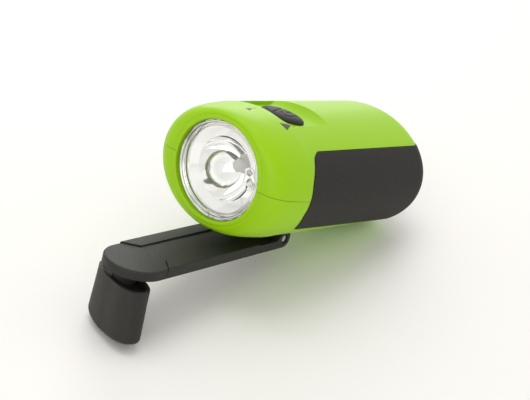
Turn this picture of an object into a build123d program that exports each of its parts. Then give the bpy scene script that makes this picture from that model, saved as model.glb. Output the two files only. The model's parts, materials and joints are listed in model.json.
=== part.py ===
from build123d import *
import os
from math import atan, copysign, cos, pi, radians, sin, sqrt, tan

os.makedirs("parts", exist_ok=True)

# A hand crank flashlight, drawn with its axis along X, the beam towards +X, and the
# centre of the lens opening at the origin. Lengths are in millimetres, angles in degrees.

# Body: two moulded halves of a wide oval, with a flat belly for the folded crank
body_half_width = 32.5
body_half_height = 24.9
body_length = 112.0
nose_length = 19.0
nose_fullness = 0.62
tail_round = 11.6
belly_depth = 22.9
wall = 2.6
seam_gap = 0.16

# Lens opening, raked so that the lens looks slightly down
lens_rake = 5.7
opening_radius = 19.5
rim_radius = 21.3
tube_wall = 2.0
tube_depth = 18.0
fit_gap = 0.3

# Lens, reflector and light source, as depths behind the opening
lens_set_back = 1.8
lens_edge = 2.6
lens_thickness = 1.8
lens_dome = 0.7
lens_clear_radius = 17.0
seat_gap = 0.1
reflector_flange = 1.5
collar_radius = 17.2
bowl_radius = 12.5
bowl_rim_depth = 6.0
bowl_belly = 9.3
bowl_belly_depth = 11.6
bowl_depth = 16.5
reflector_skin = 1.1
led_radius = 2.5
led_length = 5.6
board_radius = 13.0
board_thickness = 1.4

# Rubber grip, set into both sides and round the tail
grip_depth = 1.3
grip_proud = 0.3
grip_top = 16.3
grip_bottom = 14.3
grip_bottom_drop = 3.9
grip_front = 18.1
grip_cheek = 6.5
grip_brow = 3.7
grip_brow_drop = 1.6
grip_chin = 4.4
grip_gap = 0.25

# Thumb recess and slide switch
recess_front = -17.5
recess_half_width = 13.8
recess_corner = 6.0
recess_floor = 21.0
recess_flat_end = -41.0
recess_rear = -48.0
deck_bottom = 17.5
deck_rear = -52.0
slider_x = -33.0
slider_half_length = 9.6
slider_half_width = 7.0
slider_edge = 1.1
slider_height = 2.4
slide_travel = 3.0
stem_half_width = 1.4
stem_half_length = 2.4
switch_length = 15.0
switch_width = 9.0
switch_height = 4.2
switch_wall = 1.0
slider_gap = 0.2

# Crank hub and hinge
hub_x = -42.85
hub_disc_radius = 12.0
hub_disc = 1.3
shaft_radius = 5.0
running_fit = 0.05
bearing_boss_radius = 8.0
bearing_top = -15.4
drive_square = 3.4
drive_length = 3.2
hub_screw_radius = 1.5
hub_screw_length = 7.0
hub_screw_head = 4.4
hub_screw_head_height = 1.4
tongue_half_width = 6.5
tongue_half_length = 5.2
tongue_end = 3.2
pin_radius = 1.25
pin_recess = 0.5
pin_ring = 0.6
ear_radius = 3.6
ear_gap = 0.3
ear_blend = 2.6
body_gap = 0.3

# Crank arm: ears, neck and round tip in one, and a channel that clips round the neck
arm_drop = 4.2
arm_half_width = 12.25
arm_thickness = 4.0
arm_length = 80.0
arm_edge = 0.8
tip_distance = 75.4
neck_half_width = 6.1
neck_flare = 11.2
neck_flare_end = 26.0
neck_thickness = 1.9
rail_rise = 0.5
rail_edge = 0.4
channel_gap = 0.25
slot_end = 8.8
channel_start = 15.0
channel_end = 66.5
shoulder_slant = 5.2

# Knob: a flared paddle on a spindle that is pressed into the arm's tip
spindle_radius = 3.0
spindle_seat = 2.4
spindle_length = 20.0
spindle_collar = 3.6
spindle_collar_height = 2.0
knob_drop = 3.1
knob_height = 21.9
knob_half_length = 13.6
knob_half_width = 6.4
knob_flare = 2.2
knob_taper = 0.7
knob_squareness = 2.65
knob_turn = 18.3
knob_end_radius = 57.0
knob_edge = 2.4
knob_dish = 1.6
knob_lip = 1.3
knob_boss_radius = 4.6

# Gear train
gear_module = 0.7
pressure_angle = 25.0
tooth_height = 0.8
tooth_root = 1.1
backlash = 0.14
crank_teeth = 48
pinion_teeth = 12
idler_teeth = 42
gear_width = 3.0
gear_gap = 0.4
axle_radius = 1.2
axle_boss_radius = 2.8

# Gear plate, generator, cells and circuit board
plate_bottom = -4.6
plate_thickness = 1.6
plate_half_width = 23.0
plate_front = -29.0
plate_rear = -97.0
post_radius = 2.4
post_places = ((-33.0, 20.5), (-54.5, 19.5), (-75.5, 19.0))
plate_screw_radius = 0.9
plate_screw_head = 1.9
plate_screw_head_height = 1.2
plate_screw_bite = 5.0
magnet_radius = 8.0
magnet_height = 9.5
magnet_lift = 2.0
generator_radius = 13.0
generator_height = 14.0
generator_wall = 0.7
generator_bush = 2.4
coil_wall = 3.0
coil_height = 9.0
rotor_shaft = 1.0
cell_radius = 7.8
cell_length = 5.4
cell_count = 3
cell_spacing = 5.6
cell_x = -43.0
cell_cap = 0.5
cell_cap_radius = 5.4
holder_wall = 1.4
circuit_x = -61.0
circuit_length = 16.0
circuit_width = 30.0
circuit_thickness = 1.4
chip_size = 5.0
chip_height = 1.2

# Housing screws, up through the belly
column_radius = 3.0
screw_places = ((-23.5, 8.5), (-101.5, 6.0))
screw_radius = 1.2
screw_head_radius = 2.4
screw_head_height = 1.7
screw_head_depth = 0.6
screw_bite = 8.0

# Pitch at which both the knob and the tail touch the floor
stand_pitch = 15.41

belly_z = -belly_depth
pin_z = belly_z - body_gap - ear_radius
rake = radians(lens_rake)
drop = radians(arm_drop)
lens_normal = (cos(rake), 0, -sin(rake))
lens_plane = Plane(origin=(0, 0, 0), x_dir=(0, 1, 0), z_dir=lens_normal)
lens_section = Plane(origin=(0, 0, 0), x_dir=(0, 1, 0), z_dir=(-sin(rake), 0, -cos(rake)))
lens_axis = Axis((0, 0, 0), lens_normal)
arm_plane = Plane(origin=(hub_x, 0, pin_z), x_dir=(cos(drop), 0, -sin(drop)),
                  z_dir=(sin(drop), 0, cos(drop)))
arm_side = Plane(origin=(hub_x, 0, pin_z), x_dir=(cos(drop), 0, -sin(drop)), z_dir=(0, -1, 0))
arm_up = Axis(arm_plane.origin, arm_plane.z_dir)
knob_plane = Plane(arm_plane.location * Location((arm_length, 0, 0), (0, 0, -knob_turn)))
arm_bottom = -ear_radius
rail_top = arm_bottom + arm_thickness
neck_top = rail_top - rail_rise
neck_bottom = neck_top - neck_thickness
far = 200.0


def level(z):
    """A horizontal plane at height z."""
    return Plane.XY.offset(z)


def body_form(inset):
    """The whole body's form drawn in by the inset: a filleted oval bar and a lofted nose."""
    with BuildPart() as form:
        with BuildSketch(Plane.YZ.offset(-body_length + inset)):
            Ellipse(body_half_width - inset, body_half_height - inset)
        extrude(amount=body_length - nose_length - 2 * inset)
        fillet(form.edges().sort_by(Axis.X)[0], radius=tail_round - inset)
        for turn in (0, 14, 30, 50, 70, 90):
            swell = sin(radians(turn)) ** nose_fullness
            x = -nose_length * (1 - cos(radians(turn))) - inset
            tilt = rake * cos(radians(turn))
            with BuildSketch(Plane(origin=(x, 0, 0), x_dir=(0, 1, 0),
                                   z_dir=(cos(tilt), 0, -sin(tilt)))):
                Ellipse(rim_radius + (body_half_width - rim_radius) * swell - inset,
                        rim_radius + (body_half_height - rim_radius) * swell - inset)
        loft()
    return form.part


def grip_band(outer_inset, inner_inset, margin):
    """The band between two body forms that lies inside the grip's side outline."""
    with BuildPart() as band:
        add(body_form(outer_inset))
        add(body_form(inner_inset), mode=Mode.SUBTRACT)
        with BuildSketch(Plane.XZ) as outline:
            with BuildLine():
                Polyline(
                    (-far, grip_top),
                    (-grip_front - 2 * grip_brow, grip_top),
                    (-grip_front - grip_brow, grip_top - grip_brow_drop),
                    (-grip_front, grip_cheek),
                    (-grip_front, -grip_cheek),
                    (-grip_front - grip_chin, -grip_bottom),
                    (-body_length, -grip_bottom - grip_bottom_drop),
                    (-far, -grip_bottom - grip_bottom_drop),
                    close=True,
                )
            make_face()
            corners = outline.vertices().filter_by(lambda corner: corner.X > -body_length / 2)
            fillet(corners, radius=3.5)
            offset(amount=margin)
        extrude(amount=far, both=True, mode=Mode.INTERSECT)
    return band.part


def hollow_body():
    """Both halves in one piece: skin, flat belly, lens tube and the seat of the grip."""
    with BuildPart() as skin:
        add(body_form(0))
        split(bisect_by=level(belly_z), keep=Keep.TOP)
    with BuildPart() as space:
        add(body_form(wall))
        split(bisect_by=level(belly_z + wall), keep=Keep.TOP)
        with BuildSketch(lens_plane.offset(-tube_depth)):
            Circle(opening_radius + tube_wall)
        extrude(amount=tube_depth + nose_length, mode=Mode.SUBTRACT)
    with BuildPart() as body:
        add(skin.part)
        add(space.part, mode=Mode.SUBTRACT)
        with BuildSketch(lens_plane.offset(-ledge_depth)):
            Circle(opening_radius)
        extrude(amount=far, mode=Mode.SUBTRACT)
        with BuildSketch(lens_plane.offset(-tube_depth - nose_length)):
            Circle(opening_radius - tube_wall)
        extrude(amount=far, mode=Mode.SUBTRACT)
        add(grip_band(-grip_proud - wall, grip_depth, grip_gap), mode=Mode.SUBTRACT)
    return body.part


def gear_outline(teeth, first_tooth):
    """Corner points of a spur gear with involute flanks, one tooth centred on an angle."""
    pitch_radius = gear_module * teeth / 2
    base_radius = pitch_radius * cos(radians(pressure_angle))
    tip_radius = pitch_radius + tooth_height * gear_module
    root_radius = pitch_radius - tooth_root * gear_module
    slope = tan(radians(pressure_angle))
    half_tooth = (pi * gear_module / 2 - backlash / 2) / 2 / pitch_radius
    base_half = half_tooth + slope - atan(slope)
    start_radius = max(base_radius, root_radius)
    flank = []
    for step in range(3):
        radius = start_radius + (tip_radius - start_radius) * step / 2
        roll = sqrt(max((radius / base_radius) ** 2 - 1, 0))
        flank.append((radius, base_half - (roll - atan(roll))))
    if root_radius < base_radius:
        flank.insert(0, (root_radius, base_half))
    tooth = [(radius, -angle) for radius, angle in flank]
    tooth += [(radius, angle) for radius, angle in reversed(flank)]
    points = []
    for index in range(teeth):
        middle = radians(first_tooth) + 2 * pi * index / teeth
        points += [(radius * cos(middle + angle), radius * sin(middle + angle))
                   for radius, angle in tooth]
    return points


def neck_plan(margin):
    """Plan of the arm's neck, which flares out to the full width near the hinge."""
    with BuildSketch() as plan:
        with Locations((arm_length / 2, 0)):
            Rectangle(arm_length, 2 * (neck_half_width + margin))
        with Locations((neck_flare_end / 2, 0)):
            Rectangle(neck_flare_end, 2 * arm_half_width)
        for side in (1, -1):
            with Locations((neck_flare_end, side * (neck_half_width + neck_flare))):
                Circle(neck_flare - margin, mode=Mode.SUBTRACT)
    return plan.sketch


def paddle_outline(half_width, half_length):
    """Points round the knob's section, an ellipse that is squared off a little."""
    points = []
    for step in range(16):
        across = cos(2 * pi * step / 16)
        along = sin(2 * pi * step / 16)
        points.append((copysign(half_width * abs(across) ** (2 / knob_squareness), across),
                       copysign(half_length * abs(along) ** (2 / knob_squareness), along)))
    return points


def mesh_distance(teeth, mate):
    """Centre distance of two meshed gears."""
    return gear_module * (teeth + mate) / 2


lens_back = lens_set_back + lens_edge
flange_front = lens_back + seat_gap
ledge_depth = flange_front + reflector_flange + seat_gap
lens_radius = opening_radius - fit_gap
belly_floor = belly_z + wall
crank_gear_z = bearing_top + gear_gap
idler_gear_z = crank_gear_z + gear_width + gear_gap
idler_x = hub_x - mesh_distance(crank_teeth, pinion_teeth)
rotor_x = idler_x - mesh_distance(idler_teeth, pinion_teeth)
plate_top = plate_bottom + plate_thickness
half_pinion_pitch = 180 / pinion_teeth
hub_place = (hub_x, 0)
idler_place = (idler_x, 0)
rotor_place = (rotor_x, 0)
screws = [(x, side * y) for x, y in screw_places for side in (1, -1)]
posts = [(x, side * y) for x, y in post_places for side in (1, -1)]

# The room inside the skin, drawn a little larger so that posts bite into the walls
with BuildPart() as room:
    add(body_form(wall / 2))
    split(bisect_by=level(belly_z + wall / 2), keep=Keep.TOP)

body = hollow_body()

# Space of the thumb recess: a flat floor that sweeps up to the top at the rear
with BuildPart() as recess_space:
    with BuildSketch(Plane.XZ):
        with BuildLine():
            sweep_start = (recess_flat_end, recess_floor)
            sweep_end = (recess_rear, body_half_height + seam_gap)
            Polyline(sweep_start, (recess_front, recess_floor), (recess_front, far),
                     (recess_rear, far), sweep_end)
            TangentArc(sweep_start, sweep_end, tangent=(-1, 0))
        make_face()
    extrude(amount=recess_half_width, both=True)
    with BuildSketch(level(0)):
        with Locations(((recess_front + recess_rear) / 2 - recess_corner, 0)):
            RectangleRounded(recess_front - recess_rear + 2 * recess_corner,
                             2 * recess_half_width, recess_corner)
    extrude(amount=far, mode=Mode.INTERSECT)

with BuildPart() as upper_fittings:
    with BuildSketch(level(deck_bottom)):
        with Locations(((recess_front + wall + deck_rear) / 2, 0)):
            RectangleRounded(recess_front + wall - deck_rear, 2 * (recess_half_width + wall),
                             recess_corner)
    extrude(amount=body_half_height - deck_bottom)
    with BuildSketch(level(seam_gap / 2)):
        for place in screws:
            with Locations(place):
                Circle(column_radius)
    extrude(amount=body_half_height)
    add(room.part, mode=Mode.INTERSECT)

# Upper half, with the thumb recess, the deck under it and the screw columns
with BuildPart() as upper_shell:
    add(body)
    split(bisect_by=level(seam_gap / 2), keep=Keep.TOP)
    add(upper_fittings.part)
    add(recess_space.part, mode=Mode.SUBTRACT)
    with BuildSketch(level(deck_bottom)):
        with Locations((slider_x, 0)):
            Rectangle(2 * (stem_half_width + fit_gap),
                      2 * (stem_half_length + slide_travel + fit_gap))
    extrude(amount=far, mode=Mode.SUBTRACT)
    with BuildSketch(level(seam_gap / 2)):
        for place in screws:
            with Locations(place):
                Circle(screw_radius)
    extrude(amount=screw_bite, mode=Mode.SUBTRACT)

with BuildPart() as lower_fittings:
    with BuildSketch(level(belly_z)):
        with Locations(hub_place):
            Circle(bearing_boss_radius)
    extrude(amount=bearing_top - belly_z)
    with BuildSketch(level(belly_z)):
        with Locations(idler_place):
            Circle(axle_boss_radius)
    extrude(amount=crank_gear_z - gear_gap - belly_z)
    with BuildSketch(level(belly_z)):
        with Locations(rotor_place):
            Circle(axle_boss_radius)
    extrude(amount=idler_gear_z - gear_gap - belly_z)
    with BuildSketch(level(belly_z)):
        for place in posts:
            with Locations(place):
                Circle(post_radius)
    extrude(amount=plate_bottom - belly_z)
    with BuildSketch(level(belly_z)):
        for place in screws:
            with Locations(place):
                Circle(column_radius)
    extrude(amount=-seam_gap / 2 - belly_z)
    add(room.part, mode=Mode.INTERSECT)

# Lower half, with the hub's bearing, bearing bosses, plate posts and screw columns
with BuildPart() as lower_shell:
    add(body)
    split(bisect_by=level(-seam_gap / 2), keep=Keep.BOTTOM)
    add(lower_fittings.part)
    with BuildSketch(level(belly_z)):
        with Locations(hub_place):
            Circle(hub_disc_radius + fit_gap)
    extrude(amount=hub_disc + fit_gap, mode=Mode.SUBTRACT)
    with BuildSketch(level(belly_z)):
        with Locations(hub_place):
            Circle(shaft_radius + running_fit)
    extrude(amount=far, mode=Mode.SUBTRACT)
    with BuildSketch(level(belly_floor - wall / 2)):
        with Locations(idler_place):
            Circle(axle_radius)
        with Locations(rotor_place):
            Circle(rotor_shaft + running_fit)
    extrude(amount=far, mode=Mode.SUBTRACT)
    with BuildSketch(level(plate_bottom - plate_screw_bite)):
        for place in posts:
            with Locations(place):
                Circle(plate_screw_radius)
    extrude(amount=far, mode=Mode.SUBTRACT)
    with BuildSketch(level(belly_z)):
        for place in screws:
            with Locations(place):
                Circle(screw_radius + fit_gap / 2)
    extrude(amount=far, mode=Mode.SUBTRACT)
    with BuildSketch(level(belly_z - 1)):
        for place in screws:
            with Locations(place):
                Circle(screw_head_radius + fit_gap)
    extrude(amount=1 + screw_head_depth + screw_head_height, mode=Mode.SUBTRACT)

# Rubber grip, one band round the sides and the tail
with BuildPart() as grip:
    add(grip_band(-grip_proud, grip_depth, 0))

# Housing screws, with a drive slot in each head
with BuildPart() as housing_screws:
    head_z = belly_z + screw_head_depth
    for x, y in screws:
        with BuildSketch(level(head_z)):
            with Locations((x, y)):
                Circle(screw_head_radius)
        extrude(amount=screw_head_height)
        with BuildSketch(level(head_z)):
            with Locations((x, y)):
                Circle(screw_radius)
        extrude(amount=seam_gap / 2 + screw_bite - head_z - fit_gap)
        with BuildSketch(level(head_z)):
            with Locations((x, y)):
                Rectangle(2 * screw_head_radius - 1.0, 0.7)
                Rectangle(0.7, 2 * screw_head_radius - 1.0)
        extrude(amount=0.9, mode=Mode.SUBTRACT)


# Lens: a bulged clear disc whose thick edge seats in the bore
with BuildPart() as lens:
    with BuildSketch(lens_section):
        with BuildLine():
            TangentArc((0, lens_dome - lens_set_back), (lens_clear_radius, -lens_set_back),
                       tangent=(1, 0))
            Polyline((lens_clear_radius, -lens_set_back), (lens_radius, -lens_set_back),
                     (lens_radius, -lens_back), (lens_clear_radius, -lens_back),
                     (lens_clear_radius, -lens_set_back - lens_thickness))
            TangentArc((0, lens_dome - lens_set_back - lens_thickness),
                       (lens_clear_radius, -lens_set_back - lens_thickness), tangent=(1, 0))
            Line((0, lens_dome - lens_set_back), (0, lens_dome - lens_set_back - lens_thickness))
        make_face()
    revolve(axis=lens_axis)

# Reflector: flat flange, sloping collar and a deep bowl with a hole for the lamp
with BuildPart() as reflector:
    with BuildSketch(lens_section):
        with BuildLine():
            throat = led_radius + seat_gap
            ThreePointArc((throat, -bowl_depth), (bowl_belly, -bowl_belly_depth),
                          (bowl_radius, -bowl_rim_depth))
            Polyline((bowl_radius, -bowl_rim_depth), (collar_radius, -flange_front),
                     (lens_radius, -flange_front),
                     (lens_radius, -flange_front - reflector_flange),
                     (collar_radius, -flange_front - reflector_flange),
                     (bowl_radius + reflector_skin, -bowl_rim_depth - reflector_skin))
            ThreePointArc((bowl_radius + reflector_skin, -bowl_rim_depth - reflector_skin),
                          (bowl_belly + reflector_skin, -bowl_belly_depth - reflector_skin),
                          (throat + reflector_skin, -bowl_depth - reflector_skin))
            Polyline((throat + reflector_skin, -bowl_depth - reflector_skin),
                     (throat, -bowl_depth - reflector_skin), (throat, -bowl_depth))
        make_face()
    revolve(axis=lens_axis)

# Lamp: a domed emitter on a collar, and the board behind it
board_front = bowl_depth + reflector_skin
with BuildPart() as led:
    with BuildSketch(lens_plane.offset(-board_front)):
        Circle(led_radius)
    extrude(amount=led_length - led_radius)
    with Locations(lens_plane.offset(led_length - led_radius - board_front)):
        Sphere(led_radius)

with BuildPart() as led_board:
    with BuildSketch(lens_plane.offset(-board_front)):
        Circle(board_radius)
    extrude(amount=-board_thickness)

# Switch: a domed oval thumb piece with a stem, and the body under the deck
with BuildPart() as switch_slider:
    with BuildSketch(level(recess_floor + slider_gap)):
        with Locations((slider_x, 0)):
            Ellipse(slider_half_width, slider_half_length)
    extrude(amount=slider_height)
    crown_z = recess_floor + slider_gap + slider_height
    with BuildSketch(Plane.XZ):
        drop_x = slider_height - slider_edge
        crown_x = (slider_half_width ** 2 + drop_x ** 2) / (2 * drop_x)
        with Locations((slider_x, crown_z - crown_x)):
            Circle(crown_x)
    extrude(amount=far, both=True, mode=Mode.INTERSECT)
    with BuildSketch(Plane.YZ):
        crown_y = (slider_half_length ** 2 + drop_x ** 2) / (2 * drop_x)
        with Locations((0, crown_z - crown_y)):
            Circle(crown_y)
    extrude(amount=far, both=True, mode=Mode.INTERSECT)
    stem_bottom = deck_bottom - switch_height + switch_wall + fit_gap
    with BuildSketch(level(stem_bottom)):
        with Locations((slider_x, 0)):
            Rectangle(2 * stem_half_width, 2 * stem_half_length)
    extrude(amount=recess_floor + slider_gap - stem_bottom)

with BuildPart() as switch_case:
    with BuildSketch(level(deck_bottom)):
        with Locations((slider_x, 0)):
            Rectangle(switch_width, switch_length)
    extrude(amount=-switch_height)
    with BuildSketch(level(deck_bottom)):
        with Locations((slider_x, 0)):
            Rectangle(2 * (stem_half_width + fit_gap),
                      2 * (stem_half_length + slide_travel + fit_gap))
    extrude(amount=switch_wall - switch_height, mode=Mode.SUBTRACT)

# Crank hub: disc flush in the belly, shaft, square drive, and a tongue down to the pin
with BuildPart() as crank_hub:
    with BuildSketch(level(belly_z)):
        with Locations(hub_place):
            Circle(hub_disc_radius)
    extrude(amount=hub_disc)
    with BuildSketch(level(belly_z)):
        with Locations(hub_place):
            Circle(shaft_radius)
    extrude(amount=bearing_top - belly_z)
    with BuildSketch(level(bearing_top)):
        with Locations(hub_place):
            Rectangle(2 * drive_square, 2 * drive_square)
    extrude(amount=drive_length)
    with BuildSketch(Plane.XZ):
        with Locations((hub_x, pin_z)):
            Circle(tongue_end)
        with Locations((hub_x, belly_z + hub_disc / 2)):
            Rectangle(2 * tongue_half_length, hub_disc)
        make_hull()
    extrude(amount=tongue_half_width, both=True)
    with BuildSketch(Plane.XZ):
        with Locations((hub_x, pin_z)):
            Circle(pin_radius + running_fit)
    extrude(amount=far, both=True, mode=Mode.SUBTRACT)
    with BuildSketch(level(bearing_top + drive_length)):
        with Locations(hub_place):
            Circle(hub_screw_radius)
    extrude(amount=-hub_screw_length, mode=Mode.SUBTRACT)

with BuildPart() as hub_screw:
    with BuildSketch(level(crank_gear_z + gear_width)):
        with Locations(hub_place):
            Circle(hub_screw_head)
    extrude(amount=hub_screw_head_height)
    with BuildSketch(level(crank_gear_z + gear_width)):
        with Locations(hub_place):
            Circle(hub_screw_radius)
    extrude(amount=-hub_screw_length)

with BuildPart() as hinge_pin:
    with BuildSketch(Plane.XZ):
        with Locations((hub_x, pin_z)):
            Circle(pin_radius)
    extrude(amount=arm_half_width - pin_recess, both=True)

# Crank arm: ears round the pin, a low neck, and the round tip
with BuildPart() as crank_arm:
    with BuildSketch(arm_plane.offset(arm_bottom)):
        with Locations((tip_distance, 0)):
            Circle(arm_half_width)
        with Locations((tip_distance - arm_half_width, 0)):
            Rectangle(2 * arm_half_width, 2 * arm_half_width, mode=Mode.SUBTRACT)
        with BuildLine():
            Polyline((channel_end, -neck_half_width),
                     (channel_end + shoulder_slant, -arm_half_width),
                     (tip_distance, -arm_half_width), (tip_distance, arm_half_width),
                     (channel_end + shoulder_slant, arm_half_width),
                     (channel_end, neck_half_width), close=True)
        make_face()
    extrude(amount=neck_top - arm_bottom)
    tip_top = arm_plane.from_local_coords(Vector(tip_distance, 0, neck_top))
    tip_edges = crank_arm.faces().sort_by(arm_up)[-1].edges()
    fillet(tip_edges.filter_by(lambda edge: (edge @ 0.5 - tip_top).length > arm_half_width - 0.1),
           radius=arm_edge)
    with BuildSketch(arm_plane.offset(neck_bottom)):
        add(neck_plan(0))
        with Locations((0, 0)):
            Rectangle(2 * slot_end, 2 * far, mode=Mode.SUBTRACT)
        with Locations((channel_end + 1 + far, 0)):
            Rectangle(2 * far, 2 * far, mode=Mode.SUBTRACT)
    extrude(amount=neck_thickness)
    with BuildSketch(arm_plane.offset(arm_bottom)):
        with Locations(((slot_end + channel_start) / 2, 0)):
            Rectangle(channel_start - slot_end, 2 * arm_half_width)
    extrude(amount=neck_top - arm_bottom)
    with BuildSketch(arm_side.offset(-arm_half_width)) as ear:
        Circle(ear_radius)
        with Locations((channel_start / 2, (neck_top + arm_bottom) / 2)):
            Rectangle(channel_start, neck_top - arm_bottom)
        shoulder = Vector(sqrt(ear_radius ** 2 - neck_top ** 2), neck_top)
        fillet(ear.vertices().sort_by_distance(shoulder)[0], radius=ear_blend)
    extrude(amount=2 * arm_half_width)
    with BuildSketch(arm_plane.offset(-far)):
        Rectangle(2 * slot_end, 2 * (tongue_half_width + ear_gap))
    extrude(amount=2 * far, mode=Mode.SUBTRACT)
    with BuildSketch(Plane.XZ.offset(arm_half_width - pin_recess)):
        with Locations((hub_x, pin_z)):
            Circle(pin_radius + pin_ring)
    extrude(amount=far, mode=Mode.SUBTRACT)
    with BuildSketch(Plane.XZ.offset(pin_recess - arm_half_width)):
        with Locations((hub_x, pin_z)):
            Circle(pin_radius + pin_ring)
    extrude(amount=-far, mode=Mode.SUBTRACT)
    with BuildSketch(arm_plane.offset(arm_bottom)):
        with Locations((arm_length, 0)):
            Circle(spindle_radius)
    extrude(amount=spindle_seat, mode=Mode.SUBTRACT)
    with BuildSketch(Plane.XZ):
        with Locations((hub_x, pin_z)):
            Circle(pin_radius)
    extrude(amount=far, both=True, mode=Mode.SUBTRACT)

# Channel: a floor under the neck and a raised rail on each side of it
with BuildPart() as arm_channel:
    with BuildSketch(arm_plane.offset(arm_bottom)):
        with BuildLine():
            back = channel_start + channel_gap
            front = channel_end - channel_gap
            Polyline((back, -arm_half_width), (front + shoulder_slant, -arm_half_width),
                     (front, -neck_half_width), (front, neck_half_width),
                     (front + shoulder_slant, arm_half_width), (back, arm_half_width), close=True)
        make_face()
    extrude(amount=arm_thickness)
    channel_edges = arm_channel.faces().sort_by(arm_up)[-1].edges()
    fillet(channel_edges.filter_by(lambda edge: abs((edge @ 0.5).Y) > arm_half_width - 0.1),
           radius=rail_edge)
    with BuildSketch(arm_plane.offset(neck_bottom)):
        add(neck_plan(channel_gap))
    extrude(amount=far, mode=Mode.SUBTRACT)

# Spindle, with a collar that keeps the knob on
with BuildPart() as spindle:
    with BuildSketch(arm_plane.offset(arm_bottom + spindle_seat)):
        with Locations((arm_length, 0)):
            Circle(spindle_radius)
    extrude(amount=-spindle_seat - spindle_length)
    with BuildSketch(arm_plane.offset(arm_bottom - spindle_length)):
        with Locations((arm_length, 0)):
            Circle(spindle_collar)
    extrude(amount=spindle_collar_height)

# Knob: flared paddle with a dished top, a boss up to the arm, and a convex lower end
knob_top = arm_bottom - knob_drop
knob_bottom = knob_top - knob_height
collar_top = arm_bottom - spindle_length + spindle_collar_height
with BuildPart() as crank_knob:
    for height, narrower, longer in ((knob_top, 0, 0), (knob_bottom, knob_taper, knob_flare)):
        with BuildSketch(knob_plane.offset(height)):
            with BuildLine():
                Spline(*paddle_outline(knob_half_width - narrower, knob_half_length + longer),
                       periodic=True)
            make_face()
    loft()
    with BuildSketch(Plane(origin=knob_plane.origin, x_dir=knob_plane.y_dir,
                           z_dir=knob_plane.x_dir)):
        with Locations((0, knob_bottom + knob_end_radius)):
            Circle(knob_end_radius)
    extrude(amount=arm_length, both=True, mode=Mode.INTERSECT)
    fillet(crank_knob.faces().sort_by(arm_up)[0].edges(), radius=knob_edge)
    with BuildSketch(knob_plane.offset(knob_top)):
        with BuildLine():
            Spline(*paddle_outline(knob_half_width - knob_lip, knob_half_length - knob_lip),
                   periodic=True)
        make_face()
    extrude(amount=-knob_dish, mode=Mode.SUBTRACT)
    with BuildSketch(knob_plane.offset(arm_bottom - body_gap)):
        Circle(knob_boss_radius)
    extrude(amount=knob_top - knob_dish - arm_bottom + body_gap)
    with BuildSketch(knob_plane.offset(arm_bottom)):
        Circle(spindle_radius + running_fit)
    extrude(amount=collar_top - arm_bottom, mode=Mode.SUBTRACT)
    with BuildSketch(knob_plane.offset(collar_top + fit_gap)):
        Circle(spindle_collar + fit_gap)
    extrude(amount=-spindle_collar_height - 2 * fit_gap, mode=Mode.SUBTRACT)

# Gears: the crank gear on the square drive, an idler pair, and the rotor's pinion
with BuildPart() as crank_gear:
    with BuildSketch(level(crank_gear_z)):
        with Locations(hub_place):
            Polygon(*gear_outline(crank_teeth, 180), align=None)
            Rectangle(2 * drive_square, 2 * drive_square, mode=Mode.SUBTRACT)
    extrude(amount=gear_width)

with BuildPart() as idler_gear:
    with BuildSketch(level(crank_gear_z)):
        with Locations(idler_place):
            Polygon(*gear_outline(pinion_teeth, half_pinion_pitch), align=None)
    extrude(amount=idler_gear_z - crank_gear_z)
    with BuildSketch(level(idler_gear_z)):
        with Locations(idler_place):
            Polygon(*gear_outline(idler_teeth, 180), align=None)
    extrude(amount=gear_width)
    with BuildSketch(level(idler_gear_z + gear_width)):
        with Locations(idler_place):
            Circle(axle_boss_radius)
    extrude(amount=plate_bottom - gear_gap - idler_gear_z - gear_width)
    with BuildSketch(level(belly_z)):
        with Locations(idler_place):
            Circle(axle_radius + running_fit)
    extrude(amount=far, mode=Mode.SUBTRACT)

with BuildPart() as idler_axle:
    with BuildSketch(level(belly_floor - wall / 2)):
        with Locations(idler_place):
            Circle(axle_radius)
    extrude(amount=plate_top - belly_floor + wall / 2)

with BuildPart() as rotor_pinion:
    with BuildSketch(level(idler_gear_z)):
        with Locations(rotor_place):
            Polygon(*gear_outline(pinion_teeth, half_pinion_pitch), align=None)
            Circle(rotor_shaft, mode=Mode.SUBTRACT)
    extrude(amount=gear_width)

generator_top = plate_top + generator_height
with BuildPart() as rotor_axle:
    with BuildSketch(level(belly_floor - wall / 2 + fit_gap)):
        with Locations(rotor_place):
            Circle(rotor_shaft)
    extrude(amount=generator_top + generator_bush - belly_floor + wall / 2 - fit_gap)

with BuildPart() as rotor_magnet:
    with BuildSketch(level(plate_top + magnet_lift)):
        with Locations(rotor_place):
            Circle(magnet_radius)
            Circle(rotor_shaft, mode=Mode.SUBTRACT)
    extrude(amount=magnet_height)

# Gear plate on its posts, with its screws
with BuildPart() as gear_plate:
    with BuildSketch(level(plate_bottom)):
        with Locations(((plate_front + plate_rear) / 2, 0)):
            RectangleRounded(plate_front - plate_rear, 2 * plate_half_width, column_radius)
        with Locations(idler_place):
            Circle(axle_radius, mode=Mode.SUBTRACT)
        with Locations(rotor_place):
            Circle(axle_boss_radius, mode=Mode.SUBTRACT)
        for place in posts:
            with Locations(place):
                Circle(plate_screw_radius, mode=Mode.SUBTRACT)
    extrude(amount=plate_thickness)

with BuildPart() as plate_screws:
    for place in posts:
        with BuildSketch(level(plate_top)):
            with Locations(place):
                Circle(plate_screw_head)
        extrude(amount=plate_screw_head_height)
        with BuildSketch(level(plate_top)):
            with Locations(place):
                Circle(plate_screw_radius)
        extrude(amount=plate_bottom - plate_screw_bite + fit_gap - plate_top)

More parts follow.
